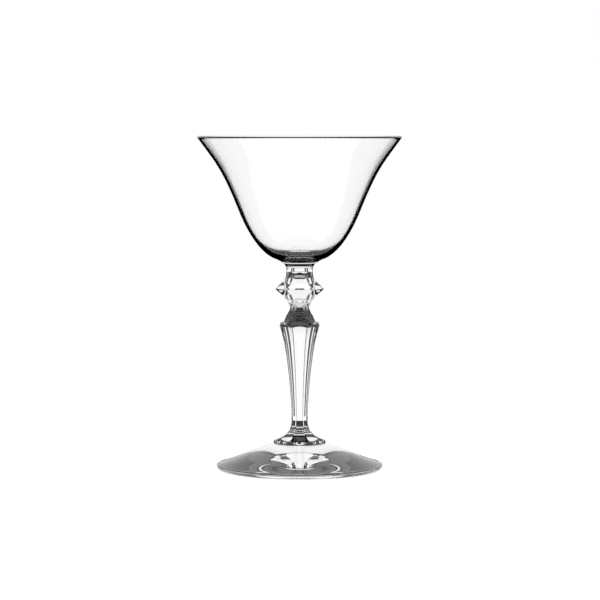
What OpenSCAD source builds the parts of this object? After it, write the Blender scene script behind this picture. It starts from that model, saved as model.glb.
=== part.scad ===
// Stem glass with a flared bowl, a cut knop and a panelled stem.
// Origin: centre of the ring that the foot stands on. +Z is up, millimetres.

/* [Bowl] */
// Diameter across the rim
rim_d = 93; // [84:0.5:104]
// Height of the bowl above its seat on the collar
bowl_h = 56; // [48:0.5:68]
// Diameter of the flat seat under the bowl
bowl_seat_d = 20.4; // [16:0.2:26]
// Diameter where the round cup turns into the flare
bowl_turn_d = 55.2; // [48:0.2:62]
// Height of that turn above the seat
bowl_turn_h = 22; // [18:0.5:27]
// Wall thickness at the rim
rim_wall = 1.2; // [0.9:0.05:1.8]
// Wall thickness at the turn
turn_wall = 1.4; // [1:0.05:2]
// Thickness of glass under the floor of the bowl
floor_t = 1.6; // [1.2:0.1:3]

/* [Collar] */
// Height of the collar between knop and bowl
collar_h = 5.5; // [4:0.1:8]
// Diameter of the collar at its foot
collar_d = 11.9; // [9:0.1:14]

/* [Knop] */
// Height of the upper neck of the knop
knop_neck_h = 2.3; // [1:0.1:4]
// Width across flats at the bottom of the upper neck
knop_neck_w = 12.8; // [11:0.1:15]
// Height from the upper neck down to the girdle
knop_crown_h = 5.3; // [3:0.1:8]
// Width across flats at the girdle
girdle_w = 22.2; // [18:0.2:26]
// Height of the upright band round the girdle
girdle_band_h = 0.4; // [0.2:0.1:1]
// Height from the girdle down to the lower neck
knop_belly_h = 4.8; // [3:0.1:7]
// Width across flats where the belly meets the lower neck
knop_crease_w = 12; // [10:0.1:14]
// Height of the lower neck of the knop
knop_tail_h = 3.4; // [2:0.1:5]
// How far the panels stay outside the round ends of the knop
knop_end_round = 0.2; // [0.1:0.05:0.5]

/* [Stem] */
// Number of flat panels round the knop and the stem
panels = 8; // [6:1:12]
// Height of the stem from the foot to the waist under the knop
stem_h = 62.1; // [50:0.5:80]
// Diameter of the waist
waist_d = 8.6; // [7:0.1:10]
// Height of the conical part of the shoulder
shoulder_h = 6.4; // [4:0.1:9]
// Diameter at the bottom of the conical part
shoulder_d = 15.7; // [13:0.1:18]
// Height of the lip that flares out under the shoulder
shoulder_lip_h = 1.1; // [0.5:0.1:2]
// How far that lip stands out past the conical part
shoulder_lip_out = 1.5; // [0.5:0.1:3]
// Width across the panels at the slimmest part of the shank
shank_slim_w = 7.4; // [5.5:0.1:9.5]
// Height of the slimmest part above the foot
shank_slim_h = 10.8; // [8:0.2:16]
// Diameter of the round boot that sits on the foot
boot_d = 23.7; // [19:0.1:28]
// How deep the panels cut into the edge of the boot
boot_cut = 0.25; // [0.05:0.05:0.6]
// Height of the upright edge of the boot
boot_edge_h = 1.6; // [0.8:0.1:3]

/* [Foot] */
// Diameter of the foot
foot_d = 75.7; // [66:0.1:86]
// Height of the flat land that carries the boot
foot_land_h = 12; // [8:0.2:15]
// Radius of the round under the edge of the foot
foot_under_r = 2.2; // [1.5:0.1:3]
// Radius of the soft corner above that round
foot_corner_r = 0.3; // [0.2:0.05:0.8]
// Width of the flat ring that the glass stands on
foot_ring_w = 2; // [1.5:0.1:8]
// Depth of the hollow under the foot
foot_kick = 1; // [0.2:0.1:1.5]

/* [Hidden] */
$fn = 96;

// Heights where the pieces meet
knop_h = knop_tail_h + knop_belly_h + girdle_band_h + knop_crown_h + knop_neck_h;
stem_z = foot_land_h;
knop_z = stem_z + stem_h;
collar_z = knop_z + knop_h;
bowl_z = collar_z + collar_h;

// Widths across the panels at the lip and at the boot
shank_top_w = shoulder_d + 2 * shoulder_lip_out;
boot_w = boot_d - 2 * boot_cut;

// Straight steps that stand for one curve of a profile, and for one arc
curve_steps = 14;
arc_steps = 10;

// Lean of the profile from upright, in degrees, where its curves begin and end
collar_foot_lean = 0;
collar_head_lean = 62;
bowl_seat_lean = 74;
bowl_turn_lean = 22;
bowl_rim_lean = 36;
bowl_floor_lean = 90;
shank_top_lean = 19;
shank_slim_lean = 0;
boot_edge_lean = -60;
foot_rim_lean = -80;
foot_land_lean = -68.4;

// Lengths of the curve handles, as shares of the chord of each curve
collar_shares = [0.42, 0.57];
cup_shares = [0.28, 0.35];
flare_shares = [0.56, 0.38];
floor_shares = [0.38, 0.6];
shank_shares = [0.1, 0.3];
boot_shares = [0.34, 0.63];
foot_shares = [0.1, 0.3];

// Where the knop's sides bend: how far up or down from the girdle, and how far in
knop_bend_shares = [0.45, 0.52];

glass = [0.86, 0.9, 0.92, 0.45];
cut_glass = [0.8, 0.86, 0.9, 0.6];

// Unit step up a profile that leans outwards by an angle
function leaning(angle) = [sin(angle), cos(angle)];

// Point at a share of the way along a cubic curve with these four control points
function cubic(a, b, c, d, t) =
    pow(1 - t, 3) * a + 3 * pow(1 - t, 2) * t * b + 3 * (1 - t) * pow(t, 2) * c + pow(t, 3) * d;

// Curve up a profile from p to q, leaving p and reaching q at the given leans
function profile_curve(p, p_lean, q, q_lean, shares) =
    let (chord = norm(q - p),
         p_handle = p + leaning(p_lean) * chord * shares[0],
         q_handle = q - leaning(q_lean) * chord * shares[1])
    [for (i = [0 : curve_steps]) cubic(p, p_handle, q_handle, q, i / curve_steps)];

// Arc about a centre from one direction to another, in degrees
function arc(centre, radius, from, to) =
    [for (i = [0 : arc_steps])
        let (angle = from + (to - from) * i / arc_steps)
        centre + radius * [cos(angle), sin(angle)]];

function reversed(points) = [for (i = [len(points) - 1 : -1 : 0]) points[i]];

// Corner radius of the panelled section that measures this across flats
function corner(width) = width / 2 / cos(180 / panels);

// Panelled solid of a profile, turned so that one panel faces the front
module panelled(profile) {
    rotate([0, 0, -90 - 180 / panels])
        rotate_extrude($fn = panels)
            polygon(profile);
}

// Foot: disc with a gently hollow sloping top, a round under its edge and a hollow underside
module foot() {
    under = [foot_d / 2 - foot_under_r, foot_under_r];
    brow = [foot_d / 2 - foot_corner_r, foot_under_r];
    edge = arc(brow, foot_corner_r, 0, -foot_rim_lean);
    land = [boot_d / 2, foot_land_h];
    slope = profile_curve(edge[arc_steps], foot_rim_lean, land, foot_land_lean, foot_shares);
    hollow_r = under[0] - foot_ring_w;
    hollow = [for (i = [0 : arc_steps])
        let (share = i / arc_steps)
        [hollow_r * share, foot_kick * (1 - pow(share, 2))]];
    color(glass)
        rotate_extrude()
            polygon(concat(
                hollow,
                arc(under, foot_under_r, -90, 0),
                [for (i = [1 : arc_steps]) edge[i]],
                [for (i = [1 : curve_steps]) slope[i]],
                [[0, foot_land_h]]));
}

// Stem: a round blank with a shoulder, cut to flat panels down to the boot
module stem() {
    lip_z = stem_h - shoulder_h - shoulder_lip_h;
    lip = [shank_top_w / 2, lip_z];
    lip_flare = shoulder_lip_out / shoulder_lip_h;
    blank_r = max(boot_d, corner(shank_top_w) * 2) / 2;
    blank_z = lip_z - (blank_r - shank_top_w / 2) / lip_flare;
    blank = [
        [0, 0],
        [boot_d / 2, 0],
        [boot_d / 2, boot_edge_h],
        [blank_r, shank_slim_h],
        [blank_r, blank_z],
        [shoulder_d / 2, stem_h - shoulder_h],
        [waist_d / 2, stem_h],
        [0, stem_h]];
    slim = [shank_slim_w / 2, shank_slim_h];
    boot = profile_curve([boot_w / 2, boot_edge_h], boot_edge_lean, slim, shank_slim_lean, boot_shares);
    shank = profile_curve(slim, shank_slim_lean, lip, shank_top_lean, shank_shares);
    top = [lip[0] + (stem_h - lip_z) * tan(shank_top_lean), stem_h];
    flats = concat([[boot_w / 2, 0]], boot, [for (i = [1 : curve_steps]) shank[i]], [top]);
    color(cut_glass)
        intersection() {
            rotate_extrude() polygon(blank);
            panelled(concat([[0, 0]], [for (p = flats) [corner(2 * p[0]), p[1]]], [[0, stem_h]]));
        }
}

// Knop: panelled bead with a sharp girdle, its ends trimmed round to meet the waist and the collar
module knop() {
    crease_z = knop_tail_h;
    girdle_z = crease_z + knop_belly_h;
    crown_z = girdle_z + girdle_band_h;
    neck_z = crown_z + knop_crown_h;
    belly = [
        girdle_w + (knop_crease_w - girdle_w) * knop_bend_shares[1],
        girdle_z - knop_belly_h * knop_bend_shares[0]];
    crown = [
        girdle_w + (knop_neck_w - girdle_w) * knop_bend_shares[1],
        crown_z + knop_crown_h * knop_bend_shares[0]];
    flats = [
        [waist_d + 2 * knop_end_round, 0],
        [knop_crease_w, crease_z],
        belly,
        [girdle_w, girdle_z],
        [girdle_w, crown_z],
        crown,
        [knop_neck_w, neck_z],
        [collar_d + 2 * knop_end_round, knop_h]];
    blank_r = corner(girdle_w) + girdle_band_h;
    blank = [
        [0, 0],
        [waist_d / 2, 0],
        [blank_r, girdle_z],
        [blank_r, crown_z],
        [collar_d / 2, knop_h],
        [0, knop_h]];
    color(cut_glass)
        intersection() {
            rotate_extrude() polygon(blank);
            panelled(concat([[0, 0]], [for (p = flats) [corner(p[0]), p[1]]], [[0, knop_h]]));
        }
}

// Collar: round neck that flares up to the seat of the bowl
module collar() {
    side = profile_curve(
        [collar_d / 2, 0], collar_foot_lean,
        [bowl_seat_d / 2, collar_h], collar_head_lean, collar_shares);
    color(glass)
        rotate_extrude()
            polygon(concat([[0, 0]], side, [[0, collar_h]]));
}

// Bowl: flared thin wall over a thick round floor, with a rounded rim
module bowl() {
    lip_r = rim_wall / 2;
    lip = [rim_d / 2 - lip_r, bowl_h - lip_r];
    across_rim = [cos(bowl_rim_lean), -sin(bowl_rim_lean)];
    across_turn = [cos(bowl_turn_lean), -sin(bowl_turn_lean)];
    turn = [bowl_turn_d / 2, bowl_turn_h];
    inner_turn = turn - across_turn * turn_wall;
    cup = profile_curve([bowl_seat_d / 2, 0], bowl_seat_lean, turn, bowl_turn_lean, cup_shares);
    flare = profile_curve(turn, bowl_turn_lean, lip + across_rim * lip_r, bowl_rim_lean, flare_shares);
    inner_cup = profile_curve([0, floor_t], bowl_floor_lean, inner_turn, bowl_turn_lean, floor_shares);
    inner_flare = profile_curve(
        inner_turn, bowl_turn_lean, lip - across_rim * lip_r, bowl_rim_lean, flare_shares);
    outside = concat([[0, 0]], cup, [for (i = [1 : curve_steps - 1]) flare[i]]);
    inside = concat(inner_cup, [for (i = [1 : curve_steps - 1]) inner_flare[i]]);
    color(glass)
        rotate_extrude()
            polygon(concat(
                outside,
                arc(lip, lip_r, -bowl_rim_lean, 180 - bowl_rim_lean),
                reversed(inside)));
}

foot();
translate([0, 0, stem_z]) stem();
translate([0, 0, knop_z]) knop();
translate([0, 0, collar_z]) collar();
translate([0, 0, bowl_z]) bowl();
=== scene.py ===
# %% [markdown]
# A stem glass, dressed for the camera
#
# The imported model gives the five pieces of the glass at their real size: foot, stem, knop, collar and
# bowl. Clear glass is all shape: what the eye sees is the room, bent by smooth surfaces. The solids are
# made of short straight steps, so each piece is built again here with the same curves, many more steps,
# slightly hollow panels and softened ridges, and gets a glass finish. Nothing moves on this object, so
# every piece rides on the one body called root.

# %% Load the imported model
import math
from types import SimpleNamespace

import bpy
import numpy as np
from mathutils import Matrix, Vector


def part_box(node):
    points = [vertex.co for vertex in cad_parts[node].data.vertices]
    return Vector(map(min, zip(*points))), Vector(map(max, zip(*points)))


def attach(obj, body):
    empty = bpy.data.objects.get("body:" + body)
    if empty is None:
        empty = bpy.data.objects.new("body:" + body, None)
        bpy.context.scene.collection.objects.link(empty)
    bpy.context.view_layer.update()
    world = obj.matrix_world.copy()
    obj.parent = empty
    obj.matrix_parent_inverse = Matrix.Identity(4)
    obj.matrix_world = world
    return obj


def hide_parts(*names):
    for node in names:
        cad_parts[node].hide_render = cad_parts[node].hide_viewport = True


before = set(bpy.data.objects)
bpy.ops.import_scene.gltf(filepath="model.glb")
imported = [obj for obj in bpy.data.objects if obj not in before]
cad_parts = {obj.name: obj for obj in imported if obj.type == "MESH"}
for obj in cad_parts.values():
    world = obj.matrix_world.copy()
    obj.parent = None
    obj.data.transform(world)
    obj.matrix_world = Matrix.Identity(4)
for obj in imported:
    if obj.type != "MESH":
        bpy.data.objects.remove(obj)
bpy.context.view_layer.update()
MM = 0.001
print("nodes:", sorted(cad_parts))

# %% [markdown]
# Sizes. The heights where the pieces meet, and the widest radii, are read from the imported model, so this
# script follows it. The rest are the sizes that a turner would note beside a sketch of the profile, in
# millimetres.

# %% Heights and radii of the glass


def top_of(node):
    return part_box(node)[1].z / MM


def radius_of(node):
    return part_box(node)[1].x / MM


LAND_Z = top_of("foot")
WAIST_Z = top_of("stem")
NECK_Z = top_of("knop")
SEAT_Z = top_of("collar")
RIM_Z = top_of("bowl")
RIM_R = radius_of("bowl")
FOOT_R = radius_of("foot")
SEAT_R = radius_of("collar")
GIRDLE_R = radius_of("knop")
BOOT_R = 11.85
WAIST_R = 4.3
COLLAR_R = 5.95
PANELS = 8
HALF_PANEL = math.pi / PANELS
print("joints at", [round(z, 2) for z in (LAND_Z, WAIST_Z, NECK_Z, SEAT_Z)], "rim at", round(RIM_Z, 2))

# %% [markdown]
# The camera. The photograph is taken from just above the rim with a long lens, about 1.2 m away, so the
# rim shows as a thin sliver and the foot as a flat ellipse.

# %% Camera at the photograph's angle
CAMERA_ASIDE, CAMERA_BACK, CAMERA_OVER_RIM = 0.18, 1240, 12
CAMERA_PITCH = math.radians(3.99)
LENS_MM, SENSOR_MM = 164.1, 36
FAR_CLIP = 100

lens = bpy.data.cameras.new("camera")
lens.sensor_width = SENSOR_MM
lens.lens = LENS_MM
lens.clip_end = FAR_CLIP
camera = bpy.data.objects.new("camera", lens)
camera.location = (CAMERA_ASIDE * MM, -CAMERA_BACK * MM, (RIM_Z + CAMERA_OVER_RIM) * MM)
camera.rotation_euler = (math.pi / 2 - CAMERA_PITCH, 0, 0)
bpy.context.scene.collection.objects.link(camera)
bpy.context.scene.camera = camera
print("camera", LENS_MM, "mm lens,", CAMERA_BACK, "mm away")

# %% [markdown]
# Profiles. Every curve of the outline is one cubic curve that leaves a point at one lean from upright and
# reaches the next point at another. Two leans and two handle lengths say all that such a curve needs, and
# neighbouring curves that share a lean run on smoothly.

# %% Curves and arcs of a profile


def leaning(degrees):
    """Step of length 1 in radius and height that leans outwards from upright."""
    return np.array([math.sin(math.radians(degrees)), math.cos(math.radians(degrees))])


def profile_curve(p, p_lean, q, q_lean, shares, steps):
    """Points of a cubic curve from p to q. The shares are handle lengths in parts of the chord."""
    p, q = np.array(p, float), np.array(q, float)
    chord = np.linalg.norm(q - p)
    a = p + leaning(p_lean) * chord * shares[0]
    b = q - leaning(q_lean) * chord * shares[1]
    t = np.linspace(0, 1, steps + 1)[:, None]
    return (1 - t) ** 3 * p + 3 * (1 - t) ** 2 * t * a + 3 * (1 - t) * t**2 * b + t**3 * q


def arc(centre, radius, start, end, steps):
    """Points of an arc, with its angles in degrees from level."""
    angles = np.radians(np.linspace(start, end, steps + 1))
    return np.array(centre) + radius * np.column_stack([np.cos(angles), np.sin(angles)])


print("an upright step in radius and height:", leaning(0))

# %% [markdown]
# One eighth of a piece. A turned or panelled piece repeats itself eight times round its axis, so only one
# sector is made here: a strip as wide as one panel, with its middle facing the front. A row of the strip
# is a rule that gives radius and height at any angle, which lets a row follow a scalloped edge exactly.
# Rows run up the outside, so faces point outwards. The flat discs where two pieces are fused are marked.

# %% Build one sector from rows
RIDGE_LANES = 6
PANEL_LANES = 16
RIDGE_SHARE = 0.08


def lane_angles():
    """Angles across one panel, closer together on the two ridges."""
    flat = 1 - RIDGE_SHARE
    ridge = np.linspace(flat, 1, RIDGE_LANES + 1)
    across = np.concatenate([-ridge[::-1], np.linspace(-flat, flat, PANEL_LANES + 1)[1:-1], ridge])
    return np.arctan(across * math.tan(HALF_PANEL))


def fixed(r, z):
    """Row that is the same at every angle."""
    return lambda angle: (r, z)


def turned(points):
    """Rows of a piece that is round."""
    return [fixed(r, z) for r, z in points]


def sector_mesh(name, rows, fused_rows):
    """Mesh of one sector. Faces that start from one of the fused rows are marked as a joint."""
    angles = lane_angles()
    verts, grid = [], []
    for row in rows:
        spots = [row(angle) for angle in angles]
        if max(r for r, z in spots) == 0:
            grid.append([len(verts)] * len(angles))
            verts.append((0, 0, spots[0][1] * MM))
            continue
        grid.append(list(range(len(verts), len(verts) + len(angles))))
        verts += [(r * math.sin(a) * MM, -r * math.cos(a) * MM, z * MM) for a, (r, z) in zip(angles, spots)]
    faces, fused = [], []
    for i, (low, high) in enumerate(zip(grid, grid[1:])):
        for j in range(len(angles) - 1):
            corners = [low[j], low[j + 1], high[j + 1], high[j]]
            faces.append(list(dict.fromkeys(corners)))
            fused.append(i in fused_rows)
    mesh = bpy.data.meshes.new(name)
    mesh.from_pydata(verts, [], faces)
    mesh.attributes.new("fused", "BOOLEAN", "FACE").data.foreach_set("value", fused)
    return mesh


print("lanes in one panel:", len(lane_angles()) - 1)

# %% [markdown]
# From a sector to a whole piece. Geometry Nodes set eight turned copies of the strip round the axis, make
# them real, close the seams by merging points, smooth everything but true edges, and give the two
# materials: glass, and the joint faces. A spin tool would do for the round pieces, but this tree makes the
# panelled ones as well.

# %% Node tree that repeats a sector round the axis


def repeat_tree():
    tree = bpy.data.node_groups.new("repeat round the axis", "GeometryNodeTree")
    face = tree.interface
    face.new_socket("Geometry", in_out="INPUT", socket_type="NodeSocketGeometry")
    face.new_socket("Count", in_out="INPUT", socket_type="NodeSocketInt")
    face.new_socket("Seam gap", in_out="INPUT", socket_type="NodeSocketFloat")
    face.new_socket("Edge angle", in_out="INPUT", socket_type="NodeSocketFloat")
    face.new_socket("Glass", in_out="INPUT", socket_type="NodeSocketMaterial")
    face.new_socket("Joint", in_out="INPUT", socket_type="NodeSocketMaterial")
    face.new_socket("Geometry", in_out="OUTPUT", socket_type="NodeSocketGeometry")

    def node(kind, settings=(), **sockets):
        made = tree.nodes.new(kind)
        for key, value in dict(settings).items():
            setattr(made, key, value)
        for key, value in sockets.items():
            socket = made.inputs[key.replace("_", " ")]
            if isinstance(value, bpy.types.NodeSocket):
                tree.links.new(value, socket)
            else:
                socket.default_value = value
        return made

    given = node("NodeGroupInput").outputs
    step = node("ShaderNodeMath", {"operation": "DIVIDE"})
    step.inputs[0].default_value = 2 * math.pi
    tree.links.new(given["Count"], step.inputs[1])
    turn = node("ShaderNodeMath", {"operation": "MULTIPLY"})
    tree.links.new(node("GeometryNodeInputIndex").outputs["Index"], turn.inputs[0])
    tree.links.new(step.outputs[0], turn.inputs[1])
    spin = node("FunctionNodeAxisAngleToRotation", Axis=(0, 0, 1), Angle=turn.outputs[0])
    points = node("GeometryNodePoints", Count=given["Count"])
    copies = node(
        "GeometryNodeInstanceOnPoints",
        Points=points.outputs[0], Instance=given["Geometry"], Rotation=spin.outputs[0])
    real = node("GeometryNodeRealizeInstances", Geometry=copies.outputs[0])
    closed = node("GeometryNodeMergeByDistance", Geometry=real.outputs[0], Distance=given["Seam gap"])
    smooth = node("GeometryNodeSetShadeSmooth", Geometry=closed.outputs[0], Shade_Smooth=True)
    bend = node("GeometryNodeInputMeshEdgeAngle").outputs["Unsigned Angle"]
    sharp = node("FunctionNodeCompare", {"data_type": "FLOAT", "operation": "GREATER_THAN"})
    tree.links.new(bend, sharp.inputs[0])
    tree.links.new(given["Edge angle"], sharp.inputs[1])
    creased = node(
        "GeometryNodeSetShadeSmooth", {"domain": "EDGE"},
        Geometry=smooth.outputs[0], Selection=sharp.outputs[0], Shade_Smooth=False)
    clear = node("GeometryNodeSetMaterial", Geometry=creased.outputs[0], Material=given["Glass"])
    fused = node("GeometryNodeInputNamedAttribute", {"data_type": "BOOLEAN"}, Name="fused")
    shape = node(
        "GeometryNodeSetMaterial",
        Geometry=clear.outputs[0], Selection=fused.outputs[0], Material=given["Joint"])
    node("NodeGroupOutput", Geometry=shape.outputs[0])
    return tree


SECTOR_TREE = repeat_tree()
SEAM_GAP = 0.001 * MM
EDGE_ANGLE = math.radians(24)


def whole_piece(name, rows, fused_rows, glass):
    """Object made of eight copies of a sector, as a plain closed mesh at the origin."""
    strip = bpy.data.objects.new(name + "_strip", sector_mesh(name + "_strip", rows, fused_rows))
    strip.data.materials.append(glass)
    bpy.context.scene.collection.objects.link(strip)
    repeat = strip.modifiers.new("repeat", "NODES")
    repeat.node_group = SECTOR_TREE
    inputs = {
        "Count": PANELS, "Seam gap": SEAM_GAP, "Edge angle": EDGE_ANGLE,
        "Glass": glass, "Joint": JOINT}
    for item in SECTOR_TREE.interface.items_tree:
        if item.in_out == "INPUT" and item.name in inputs:
            repeat[item.identifier] = inputs[item.name]
    seen = strip.evaluated_get(bpy.context.evaluated_depsgraph_get())
    mesh = bpy.data.meshes.new_from_object(seen)
    strip.modifiers.remove(repeat)
    bpy.data.objects.remove(strip)
    mesh.name = name
    piece = bpy.data.objects.new(name, mesh)
    bpy.context.scene.collection.objects.link(piece)
    loose = sum(1 for count in edge_use(mesh) if count != 2)
    print(name, len(mesh.polygons), "faces,", loose, "open edges,", [m.name for m in mesh.materials])
    return piece


def edge_use(mesh):
    """How many faces use each edge: 2 everywhere on a closed mesh."""
    uses = np.zeros(len(mesh.loops), int)
    mesh.loops.foreach_get("edge_index", uses)
    return np.bincount(uses, minlength=len(mesh.edges))


# %% [markdown]
# Shader maths. A small class wraps a socket, so that a mask can be written as an expression, and one
# method adds any other node.

# %% Shader helper


class Socket:
    """A node socket that adds Math nodes when it is used in an expression."""

    def __init__(self, tree, out):
        self.tree = tree
        self.out = out

    def math(self, operation, a, b):
        made = self.tree.nodes.new("ShaderNodeMath")
        made.operation = operation
        for socket, value in zip(made.inputs, (a, b)):
            feed(self.tree, socket, value)
        return Socket(self.tree, made.outputs[0])

    def __add__(self, other):
        return self.math("ADD", self, other)

    def __mul__(self, other):
        return self.math("MULTIPLY", self, other)

    def __truediv__(self, other):
        return self.math("DIVIDE", self, other)

    def __rtruediv__(self, other):
        return self.math("DIVIDE", other, self)

    def __sub__(self, other):
        return self.math("SUBTRACT", self, other)

    def __rsub__(self, other):
        return self.math("SUBTRACT", other, self)

    def __gt__(self, other):
        return self.math("GREATER_THAN", self, other)

    def __lt__(self, other):
        return self.math("LESS_THAN", self, other)

    __radd__ = __add__
    __rmul__ = __mul__


def feed(tree, socket, value):
    if isinstance(value, Socket):
        tree.links.new(value.out, socket)
    else:
        socket.default_value = value


class Shader:
    """A material's or a world's node tree, emptied, with one method that adds a node."""

    def __init__(self, owner):
        owner.use_nodes = True
        self.tree = owner.node_tree
        self.tree.nodes.clear()

    def add(self, kind, settings=(), **sockets):
        made = self.tree.nodes.new(kind)
        for key, value in dict(settings).items():
            setattr(made, key, value)
        for key, value in sockets.items():
            feed(self.tree, made.inputs[key.replace("_", " ")], value)
        return lambda name=0: Socket(self.tree, made.outputs[name])

    def blend(self, kind, first, second, **sockets):
        """Node that joins two shaders, which are the last two of its inputs."""
        joined = self.add(kind, **sockets)()
        for socket, value in zip(joined.out.node.inputs[-2:], (first, second)):
            feed(self.tree, socket, value)
        return joined


# %% [markdown]
# Clear glass. Blown and pressed glass have the same clear body. What differs is the skin: a blown wall has
# long soft waves, a polished panel has almost none. Both are a faint Bump under a Principled shader that
# lets all light through.

# %% Glass and joint materials
GLASS_IOR = 1.5


def clear_glass(name, wave_mm, wave_depth):
    material = bpy.data.materials.new(name)
    shader = Shader(material)
    place = shader.add("ShaderNodeTexCoord")("Object")
    waves = shader.add("ShaderNodeTexNoise", Vector=place, Scale=1 / (wave_mm * MM), Detail=1.0)("Fac")
    skin = shader.add("ShaderNodeBump", Height=waves, Strength=1.0, Distance=wave_depth * MM)()
    body = shader.add(
        "ShaderNodeBsdfPrincipled",
        Base_Color=(1, 1, 1, 1), Roughness=0.0, IOR=GLASS_IOR, Transmission_Weight=1.0, Normal=skin)()
    shader.add("ShaderNodeOutputMaterial", Surface=body)
    return material


def joint_face():
    """Faces inside the fused glass: the light passes as if they weren't there."""
    material = bpy.data.materials.new("fused joint")
    shader = Shader(material)
    clear = shader.add("ShaderNodeBsdfTransparent", Color=(1, 1, 1, 1))()
    shader.add("ShaderNodeOutputMaterial", Surface=clear)
    return material


BLOWN = clear_glass("blown glass", wave_mm=14, wave_depth=0.004)
POLISHED = clear_glass("polished panels", wave_mm=5, wave_depth=0.001)
PRESSED = clear_glass("pressed foot", wave_mm=12, wave_depth=0.004)
JOINT = joint_face()
print("materials:", [m.name for m in (BLOWN, POLISHED, PRESSED, JOINT)])

# %% [markdown]
# The bowl: a blown wall a little over a millimetre thick, flared to the rim, over a round floor. Its rim is
# fire polished, which leaves a half round lip. A surface with Solidify would give one thickness all over,
# so the inside is a profile of its own: the width of the black edge in the picture is the wall's thickness.

# %% Bowl
RIM_WALL = 1.2
TURN_WALL = 1.4
FLOOR_T = 1.6
TURN_R = 27.6
TURN_H = 22.0
SEAT_LEAN, TURN_LEAN, RIM_LEAN, FLOOR_LEAN = 74, 22, 36, 90
CUP_SHARES, FLARE_SHARES, FLOOR_SHARES = (0.28, 0.35), (0.56, 0.38), (0.38, 0.6)
WALL_STEPS = 44
LIP_STEPS = 14


def across(lean):
    """Step of length 1 that goes outwards at right angles to a wall with this lean."""
    return np.array([math.cos(math.radians(lean)), -math.sin(math.radians(lean))])


def bowl_rows():
    lip_r = RIM_WALL / 2
    lip = np.array([RIM_R - lip_r, RIM_Z - lip_r])
    turn = np.array([TURN_R, SEAT_Z + TURN_H])
    inner_turn = turn - across(TURN_LEAN) * TURN_WALL
    outer_rim, inner_rim = lip + across(RIM_LEAN) * lip_r, lip - across(RIM_LEAN) * lip_r
    cup = profile_curve((SEAT_R, SEAT_Z), SEAT_LEAN, turn, TURN_LEAN, CUP_SHARES, WALL_STEPS)
    flare = profile_curve(turn, TURN_LEAN, outer_rim, RIM_LEAN, FLARE_SHARES, WALL_STEPS)
    round_lip = arc(lip, lip_r, -RIM_LEAN, 180 - RIM_LEAN, LIP_STEPS)
    middle = (0, SEAT_Z + FLOOR_T)
    inside = profile_curve(middle, FLOOR_LEAN, inner_turn, TURN_LEAN, FLOOR_SHARES, WALL_STEPS)
    inner_flare = profile_curve(inner_turn, TURN_LEAN, inner_rim, RIM_LEAN, FLARE_SHARES, WALL_STEPS)
    return turned(np.vstack([
        [(0, SEAT_Z)], cup, flare[1:], round_lip[1:-1], inner_flare[:0:-1], inside[::-1]]))


bowl = whole_piece("bowl", bowl_rows(), {0}, BLOWN)

# %% [markdown]
# The collar: the round neck that carries the bowl, drawn out of the hot glass. Its curve leaves the knop
# upright and opens under the bowl. It is a turned piece, made by the same rows as the bowl.

# %% Collar
COLLAR_FOOT_LEAN, COLLAR_HEAD_LEAN = 0, 62
COLLAR_SHARES = (0.42, 0.57)
COLLAR_STEPS = 28

collar_side = profile_curve(
    (COLLAR_R, NECK_Z), COLLAR_FOOT_LEAN, (SEAT_R, SEAT_Z), COLLAR_HEAD_LEAN, COLLAR_SHARES, COLLAR_STEPS)
collar_rows = turned(np.vstack([[(0, NECK_Z)], collar_side, [(0, SEAT_Z)]]))
collar = whole_piece("collar", collar_rows, {0, len(collar_rows) - 2}, BLOWN)

# %% [markdown]
# Panels. Cutting leaves each panel very slightly hollow, and polishing rounds the ridge between two
# panels. Both are a rule for the radius at an angle from the middle of a panel. They decide which thin
# lines the stem shows, so they are real geometry and not bump.

# %% Radius across a panel
HALVINGS = 40
NUDGE = 0.001


def hollow_panel(apothem, angle, hollow):
    """Radius of a panel of this half width across flats, hollowed and with rounded ridges."""
    reach = math.tan(HALF_PANEL)

    def at(u):
        return (apothem - hollow * apothem * (1 - u * u)) * math.hypot(1, u * reach)

    u = abs(math.tan(angle)) / reach
    edge = 1 - RIDGE_SHARE
    if u <= edge:
        return at(u)
    slope = (at(edge) - at(edge - NUDGE)) / NUDGE
    t = (u - edge) / RIDGE_SHARE
    return at(edge) + slope * RIDGE_SHARE * (t - t * t / 2)


def crossing(over, under, low, high):
    """Height between low and high where the rule over drops below the rule under."""
    for _ in range(HALVINGS):
        middle = (low + high) / 2
        if over(middle) > under(middle):
            low = middle
        else:
            high = middle
    return (low + high) / 2


ridge_r = hollow_panel(GIRDLE_R, HALF_PANEL, 0)
print("a flat panel", round(GIRDLE_R, 2), "mm out has its ridge at", round(ridge_r, 2), "mm")

# %% [markdown]
# The knop: a panelled bead between two necks. It starts as a turned bead with a sharp girdle. The cutter
# then grinds eight panels above the girdle and eight below it, and stops each a little short, so a panel
# is widest at its knuckle and narrows to an arch under the girdle, which stays round. Taking the smaller of
# the panel and the turned bead gives that arch by itself. The ends are round where they meet the waist and
# the collar, and the panels run in there with small scallops.

# %% Knop
KNOP_HOLLOW = 0.02
KNUCKLE_SHARE = 1.06
KNOP_SIDE = [
    (4.5, 0.0), (6.0, 3.4), (GIRDLE_R - 2.65, 6.04), (GIRDLE_R, 8.2),
    (GIRDLE_R, 8.6), (GIRDLE_R - 2.44, 10.98), (6.4, 13.9), (6.15, 16.2)]
GIRDLE_LEVELS = slice(2, 6)
KNOP_STEPS = 10
END_FLARE = 0.8


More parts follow.
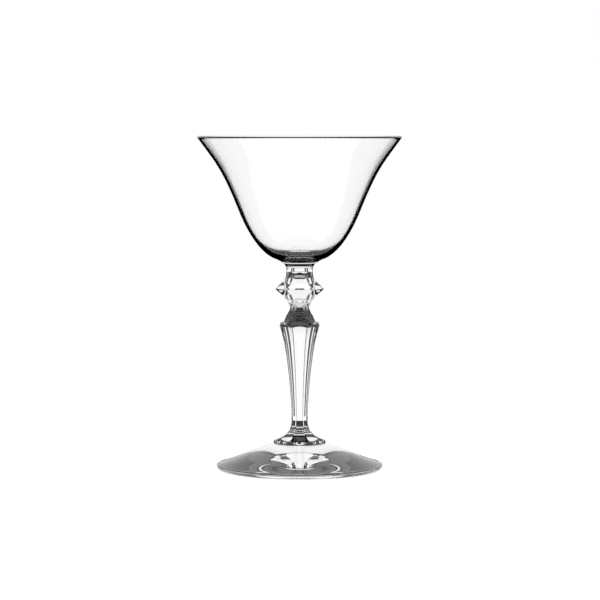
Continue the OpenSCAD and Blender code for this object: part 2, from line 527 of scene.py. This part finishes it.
def knop_rows():
    heights = np.array([WAIST_Z + z for r, z in KNOP_SIDE])
    apothems = np.array([r for r, z in KNOP_SIDE])
    low, high = heights[0], heights[-1]
    girdle = heights[GIRDLE_LEVELS]

    def panel(angle, z):
        apothem = np.interp(z, heights, apothems)
        bead = apothem * np.interp(z, girdle, (KNUCKLE_SHARE, 1, 1, KNUCKLE_SHARE))
        return min(hollow_panel(apothem, angle, KNOP_HOLLOW), bead)

    def foot_end(z):
        return WAIST_R + END_FLARE * (z - low)

    def head_end(z):
        return COLLAR_R + END_FLARE * (high - z)

    def trims(angle):
        bottom = crossing(lambda z: panel(angle, z), foot_end, low, heights[1])
        top = crossing(head_end, lambda z: panel(angle, z), heights[-2], high)
        return bottom, top

    def side(k, t):
        def row(angle):
            bottom, top = trims(angle)
            levels = [bottom, *heights[1:-1], top]
            z = levels[k] + (levels[k + 1] - levels[k]) * t
            return panel(angle, z), z
        return row

    rows = [fixed(0, low), fixed(WAIST_R, low)]
    for k in range(len(heights) - 1):
        rows += [side(k, i / KNOP_STEPS) for i in range(KNOP_STEPS)]
    rows += [side(len(heights) - 2, 1.0), fixed(COLLAR_R, high), fixed(0, high)]
    return rows


knop_rule = knop_rows()
knop = whole_piece("knop", knop_rule, {0, len(knop_rule) - 2}, POLISHED)

# %% [markdown]
# The stem. A round blank with a conical shoulder is cut to eight panels that sweep down to a slim shank and
# flare out again into the boot. Where the panels run out through the shoulder they leave a scalloped lip.
# The shoulder itself has eight flats in line with the panels, which fade out at its top and at the lip. A
# loft between two outlines could make the shank, but the scallops are where two surfaces cross, so each
# row is a rule that asks where the cone drops below the panel.

# %% Stem
SHANK_HOLLOW = 0.03
SHOULDER_H, SHOULDER_R = 6.4, 7.85
SHOULDER_FADE = 1.5
LIP_H, LIP_OUT = 1.1, 1.5
SLIM_R, SLIM_H = 3.7, 10.8
BOOT_EDGE_H, BOOT_CUT = 1.6, 0.25
SHANK_TOP_LEAN, SHANK_SLIM_LEAN, BOOT_EDGE_LEAN = 19, 0, -60
SHANK_SHARES, BOOT_SHARES = (0.1, 0.3), (0.34, 0.63)
LIP_STEPS_UP, SHOULDER_STEPS, SHANK_STEPS, BOOT_STEPS = 4, 12, 48, 32
FINER = 4


def stem_rows():
    lip = (SHOULDER_R + LIP_OUT, WAIST_Z - SHOULDER_H - LIP_H)
    slim = (SLIM_R, LAND_Z + SLIM_H)
    boot_edge = (BOOT_R - BOOT_CUT, LAND_Z + BOOT_EDGE_H)
    shank = profile_curve(slim, SHANK_SLIM_LEAN, lip, SHANK_TOP_LEAN, SHANK_SHARES, FINER * SHANK_STEPS)
    boot = profile_curve(boot_edge, BOOT_EDGE_LEAN, slim, SHANK_SLIM_LEAN, BOOT_SHARES, BOOT_STEPS)
    cone_z = WAIST_Z - SHOULDER_H
    blank = np.array([lip, (SHOULDER_R, cone_z), (WAIST_R, WAIST_Z)])

    def shank_panel(angle, z):
        rise = max(0.0, z - lip[1]) * math.tan(math.radians(SHANK_TOP_LEAN))
        return hollow_panel(np.interp(z, shank[:, 1], shank[:, 0]) + rise, angle, SHANK_HOLLOW)

    def shoulder(z):
        spread = max(0.0, lip[1] - z) * LIP_OUT / LIP_H
        return np.interp(z, blank[:, 1], blank[:, 0]) + spread

    def lip_height(angle):
        return crossing(shoulder, lambda z: shank_panel(angle, z), slim[1], WAIST_Z)

    def boot_row(r, z):
        return lambda angle: (min(hollow_panel(r, angle, SHANK_HOLLOW), BOOT_R), z)

    def shank_row(t):
        def row(angle):
            z = slim[1] + (lip_height(angle) - slim[1]) * t
            return shank_panel(angle, z), z
        return row

    def lip_row(t):
        def row(angle):
            z = lip_height(angle) + (cone_z - lip_height(angle)) * t
            return shoulder(z), z
        return row

    def shoulder_row(t):
        z = cone_z + (WAIST_Z - cone_z) * t
        fade = min(1, (WAIST_Z - z) / SHOULDER_FADE, (z - cone_z) / SHOULDER_FADE)

        def row(angle):
            flat = math.cos(HALF_PANEL) / math.cos(angle)
            return shoulder(z) * (1 + fade * (flat - 1)), z
        return row

    rows = [fixed(0, LAND_Z), fixed(BOOT_R, LAND_Z), fixed(BOOT_R, LAND_Z + BOOT_EDGE_H / 2)]
    rows += [boot_row(r, z) for r, z in boot]
    rows += [shank_row(i / SHANK_STEPS) for i in range(1, SHANK_STEPS + 1)]
    rows += [lip_row(i / LIP_STEPS_UP) for i in range(1, LIP_STEPS_UP + 1)]
    rows += [shoulder_row(i / SHOULDER_STEPS) for i in range(1, SHOULDER_STEPS + 1)]
    return rows + [fixed(0, WAIST_Z)]


stem_rule = stem_rows()
stem = whole_piece("stem", stem_rule, {0, len(stem_rule) - 2}, POLISHED)

# %% [markdown]
# The foot: a broad pressed disc with a straight sloping top, a rounded edge and a slight hollow underneath,
# so that it stands on a ring and does not rock. The hollow matters for the looks as well: its curve mirrors
# the stem as a pale butterfly in the front of the foot, and the ring shows as a thin light ellipse. So the
# underside is built as finely as the top.

# %% Foot
UNDER_R = 2.2
CORNER_R = 0.3
RING_W = 2.0
KICK = 1.0
FOOT_RIM_LEAN, FOOT_LAND_LEAN = -80, -68.4
FOOT_SHARES = (0.1, 0.3)
SLOPE_STEPS = 40
EDGE_STEPS = 12
HOLLOW_STEPS = 32


def foot_rows():
    under = (FOOT_R - UNDER_R, UNDER_R)
    corner = (FOOT_R - CORNER_R, UNDER_R)
    hollow_r = under[0] - RING_W
    edge = np.vstack([
        arc(under, UNDER_R, -90, 0, EDGE_STEPS), arc(corner, CORNER_R, 0, -FOOT_RIM_LEAN, EDGE_STEPS)[1:]])
    top = profile_curve(edge[-1], FOOT_RIM_LEAN, (BOOT_R, LAND_Z), FOOT_LAND_LEAN, FOOT_SHARES, SLOPE_STEPS)
    r = np.linspace(0, hollow_r, HOLLOW_STEPS + 1)
    hollow = np.column_stack([r, KICK * (1 - (r / hollow_r) ** 2)])
    return turned(np.vstack([hollow, edge, top[1:], [(0, LAND_Z)]]))


foot_rule = foot_rows()
foot = whole_piece("foot", foot_rule, {len(foot_rule) - 2}, PRESSED)

# %% [markdown]
# The table. A glass in an all white room can hardly be seen: its black edges are dark things that the glass
# bends into view. A photographer puts it in a ring of white panels under a greyer ceiling, with narrow dark
# gaps between the panels and dark cloth on the table out of the picture. A set of such things could be
# built, but each would show in some other view. So the table is one plain disc, and its material takes
# their place, by rules for light from the glass that no real table has.

# %% Table disc
TABLE_R = 1.5
TABLE_SIDES = 96
TABLE_DROP = 0.02 * MM

table_mesh = bpy.data.meshes.new("floor")
table_turns = np.linspace(0, 2 * math.pi, TABLE_SIDES, endpoint=False)
table_rim = [(TABLE_R * math.cos(a), TABLE_R * math.sin(a), -TABLE_DROP) for a in table_turns]
table_mesh.from_pydata(table_rim, [], [range(TABLE_SIDES)])
floor = bpy.data.objects.new("floor", table_mesh)
bpy.context.scene.collection.objects.link(floor)
print("table", 2 * TABLE_R, "m across")

# %% [markdown]
# What is known of light on the table. Light Path counts how often it crossed the skin of the glass and how
# often it was mirrored. These are whole numbers, so they are compared with halves. The slope of the light
# times the distance of the spot from the axis is the height at which it passed the axis, which tells light
# from the boot, the shank, the knop and the bowl apart.

# %% Light that lands on the table
AT_LEAST_ONE, AT_MOST_ONE = 0.5, 1.5
ONE_PIECE = 3.5
EVEN_BLEND = 0.5


def grey(value):
    return (value, value, value, 1)


def soft_step(shader, value, middle, soft):
    """0 below the middle and 1 above it, with a soft change between."""
    return shader.add(
        "ShaderNodeMapRange", {"interpolation_type": "SMOOTHSTEP"},
        Value=value, From_Min=middle - soft, From_Max=middle + soft)("Result")


def landing(shader):
    """Sockets that say where light meets the table, how steeply, and what it went through."""
    path = shader.add("ShaderNodeLightPath")
    place = shader.add("ShaderNodeTexCoord")("Object")
    away = shader.add("ShaderNodeVectorMath", {"operation": "LENGTH"}, Vector=place)("Value")
    steep = 1 - shader.add("ShaderNodeLayerWeight", Blend=EVEN_BLEND)("Facing")
    level = 1 - steep * steep
    return SimpleNamespace(
        place=place, away=away, steep=steep,
        back=shader.add("ShaderNodeSeparateXYZ", Vector=place)("Y"),
        height=away * (steep / level.math("SQRT", level, 0)),
        crossings=path("Transmission Depth"), mirrors=path("Glossy Depth"),
        camera=path("Is Camera Ray"))


# %% [markdown]
# Light that went straight through sees a white table, but for a dark card behind the glass and the foot of
# each gap. The card darkens the shoulder and the boot, and the gaps draw the thin lines of the shank. By
# the height at the axis the gaps end below the bowl and the card just over its floor, and the card has a
# slot for the shank, so that bowl and shank stay clear when they are seen from above.

# %% Card and gaps
CARD_FROM, CARD_TO = math.radians(8.3), math.radians(45)
CARD_SOFT = 0.01
CARD_HALF = math.radians(32)
CARD_START = 0.03
SLOT_FROM, SLOT_TO, CARD_TOP = 0.026, 0.056, 0.108
HEIGHT_SOFT = 0.003
GAP_AT, GAP_HALF, GAP_SOFT = math.radians(18.5), math.radians(2.8), math.radians(0.4)
GAP_START = 0.3
GAP_START_SOFT = 0.02
GAP_TOP = 0.095


def on_card(shader, light):
    """1 on the card, for light that went through one piece."""
    one_piece = (light.crossings > AT_LEAST_ONE) * (light.crossings < ONE_PIECE)
    behind = (light.back > light.away * math.cos(CARD_HALF)) * (light.away > CARD_START)
    past_slot_from = soft_step(shader, light.height, SLOT_FROM, HEIGHT_SOFT)
    past_slot_to = soft_step(shader, light.height, SLOT_TO, HEIGHT_SOFT)
    past_top = soft_step(shader, light.height, CARD_TOP, HEIGHT_SOFT)
    past_low = soft_step(shader, light.steep, math.sin(CARD_FROM), CARD_SOFT)
    past_high = soft_step(shader, light.steep, math.sin(CARD_TO), CARD_SOFT)
    at_height = (1 - past_top) * (1 - past_slot_from + past_slot_to)
    return one_piece * behind * at_height * (past_low - past_high)


def in_gap(shader, place):
    """1 in the narrow gaps between the white panels of the room, seen from the glass."""
    part = shader.add("ShaderNodeSeparateXYZ", Vector=place)
    facing = part("X").math("ARCTAN2", part("X"), part("Y"))
    off_gap = facing.math("PINGPONG", facing, HALF_PANEL) - GAP_AT
    return 1 - soft_step(shader, off_gap.math("ABSOLUTE", off_gap, 0), GAP_HALF, GAP_SOFT)


def on_gap(shader, light):
    """1 where the foot of a gap stands on the table."""
    far = soft_step(shader, light.away, GAP_START, GAP_START_SOFT)
    past_top = soft_step(shader, light.height, GAP_TOP, HEIGHT_SOFT)
    return in_gap(shader, light.place) * far * (1 - past_top)


print("card up to", round(CARD_TOP / MM), "mm, gaps up to", round(GAP_TOP / MM), "mm at the axis")

# %% [markdown]
# Mirrored light mostly ends in the dark cloth. Light off the outer face finds white beside the glass and
# black behind it, which draws the edge of the bowl. Light that was turned round once inside finds white on
# the near table in front, which keeps the floor of the bowl grey, and black elsewhere. Light that was
# turned round more often finds black or nearly black, because so little of it is left.

# %% Table material
NEAR_R = 0.28
NEAR_SOFT = 0.04
UNDER_FOOT_R = 0.06
UNDER_FOOT_SOFT = 0.01
BEHIND_HALF = math.radians(45)
BEHIND_SOFT = 0.03
DEEP_MIRRORS = 2.5
DEEP_TONE = 0.1
TABLE_GLOW = 0.9
TABLE_PALE = 0.25


def finds_white(shader, light, near):
    """1 where light that was mirrored still finds a white table."""
    past_foot = soft_step(shader, light.away, UNDER_FOOT_R, UNDER_FOOT_SOFT)
    in_front = (light.back < 0) * near * past_foot * (light.mirrors < AT_MOST_ONE)
    beside = 1 - soft_step(shader, light.back / light.away, math.cos(BEHIND_HALF), BEHIND_SOFT)
    outer = light.crossings < AT_LEAST_ONE
    return beside * outer + in_front * (1 - outer)


def table_material():
    """White with dark zones for light from the glass; pale, with shadows, for the camera."""
    material = bpy.data.materials.new("pale table")
    shader = Shader(material)
    light = landing(shader)
    near = 1 - soft_step(shader, light.away, NEAR_R, NEAR_SOFT)
    straight = light.mirrors < AT_LEAST_ONE
    shaded = straight * (1 - (1 - on_card(shader, light)) * (1 - on_gap(shader, light)))
    lost = (1 - straight) * (1 - finds_white(shader, light, near))
    deep = (light.mirrors > DEEP_MIRRORS) * near

    def tone(value, strength=1.0):
        return shader.add("ShaderNodeEmission", Color=grey(value), Strength=strength)()

    through = shader.blend("ShaderNodeMixShader", tone(1), tone(0), Fac=shaded)
    bent = shader.blend("ShaderNodeMixShader", through, tone(0), Fac=lost)
    kept = shader.blend("ShaderNodeMixShader", bent, tone(DEEP_TONE), Fac=deep)
    pale = shader.add("ShaderNodeBsdfDiffuse", Color=grey(TABLE_PALE))()
    seen = shader.blend("ShaderNodeAddShader", pale, tone(1, TABLE_GLOW))
    surface = shader.blend("ShaderNodeMixShader", kept, seen, Fac=light.camera)
    shader.add("ShaderNodeOutputMaterial", Surface=surface)
    return material


table_mesh.materials.append(table_material())
print("table material with", len(table_mesh.materials[0].node_tree.nodes), "nodes")

# %% [markdown]
# The room itself is the world's background: a white ring of wall that turns grey towards the ceiling. The
# camera sees it white, and so does light off the glass, up to the ceiling. Light that passed straight
# through the glass also sees the upper wall turn grey and, where it crossed only one piece, the dark gaps.
# Light that was mirrored more than twice sees it nearly black. A built room of panels could come close,
# but a background has no edges that another view could catch.

# %% Room
WALL_WHITE_TO, WALL_GREY_FROM = math.radians(8), math.radians(45)
WALL_GREY = 0.28
CEILING_FROM = math.radians(50)
GAP_TO = math.radians(30)
GAP_TONE = 0.02
EDGE_SOFT = 0.05

world = bpy.data.worlds.new("white room")
bpy.context.scene.world = world
room = Shader(world)
toward = room.add("ShaderNodeTexCoord")("Generated")
upward = room.add("ShaderNodeSeparateXYZ", Vector=toward)("Z")
room_path = room.add("ShaderNodeLightPath")
room_crossings, room_mirrors = room_path("Transmission Depth"), room_path("Glossy Depth")
through_glass = (room_crossings > AT_LEAST_ONE) * (room_mirrors < AT_LEAST_ONE)
off_glass = (room_crossings < AT_LEAST_ONE) * (room_mirrors > AT_LEAST_ONE)
high = room.add(
    "ShaderNodeMapRange", Value=upward,
    From_Min=math.sin(WALL_WHITE_TO), From_Max=math.sin(WALL_GREY_FROM))("Result")
ceiling = soft_step(room, upward, math.sin(CEILING_FROM), EDGE_SOFT)
below_top = 1 - soft_step(room, upward, math.sin(GAP_TO), EDGE_SOFT)


def wall_tone(value):
    return room.add("ShaderNodeBackground", Color=grey(value), Strength=1.0)()


greyer = high * through_glass + ceiling * off_glass
wall = room.blend("ShaderNodeMixShader", wall_tone(1), wall_tone(WALL_GREY), Fac=greyer)
deep = room_mirrors > DEEP_MIRRORS
deep_wall = room.blend("ShaderNodeMixShader", wall, wall_tone(DEEP_TONE), Fac=deep)
gaps = in_gap(room, toward) * through_glass * (room_crossings < ONE_PIECE) * below_top
whole_room = room.blend("ShaderNodeMixShader", deep_wall, wall_tone(GAP_TONE), Fac=gaps)
room.add("ShaderNodeOutputWorld", Surface=whole_room)
print("wall white to", round(math.degrees(WALL_WHITE_TO)), "degrees up")

# %% [markdown]
# Render settings that belong to the look: plain Standard colours, and enough bounces for light to find its
# way through cut glass. Light that is mirrored many times inside is cut off early, because in real glass it
# fades, and black is what it fades to.

# %% Colour and bounces
BOUNCES = 12
MIRROR_BOUNCES = 4
CLEAR_BOUNCES = 24
scene = bpy.context.scene
scene.view_settings.view_transform = "Standard"
scene.cycles.max_bounces = BOUNCES
scene.cycles.glossy_bounces = MIRROR_BOUNCES
scene.cycles.transmission_bounces = BOUNCES
scene.cycles.transparent_max_bounces = CLEAR_BOUNCES
print("bounces", BOUNCES, "of which mirrored", MIRROR_BOUNCES)

# %% [markdown]
# Last, every piece is tied to the imported model: it rides on the body and stands for its node, which is
# hidden.

# %% Tie the pieces to the frame
for piece in (bowl, collar, knop, stem, foot):
    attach(piece, "root")
    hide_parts(piece.name.split(".")[0])
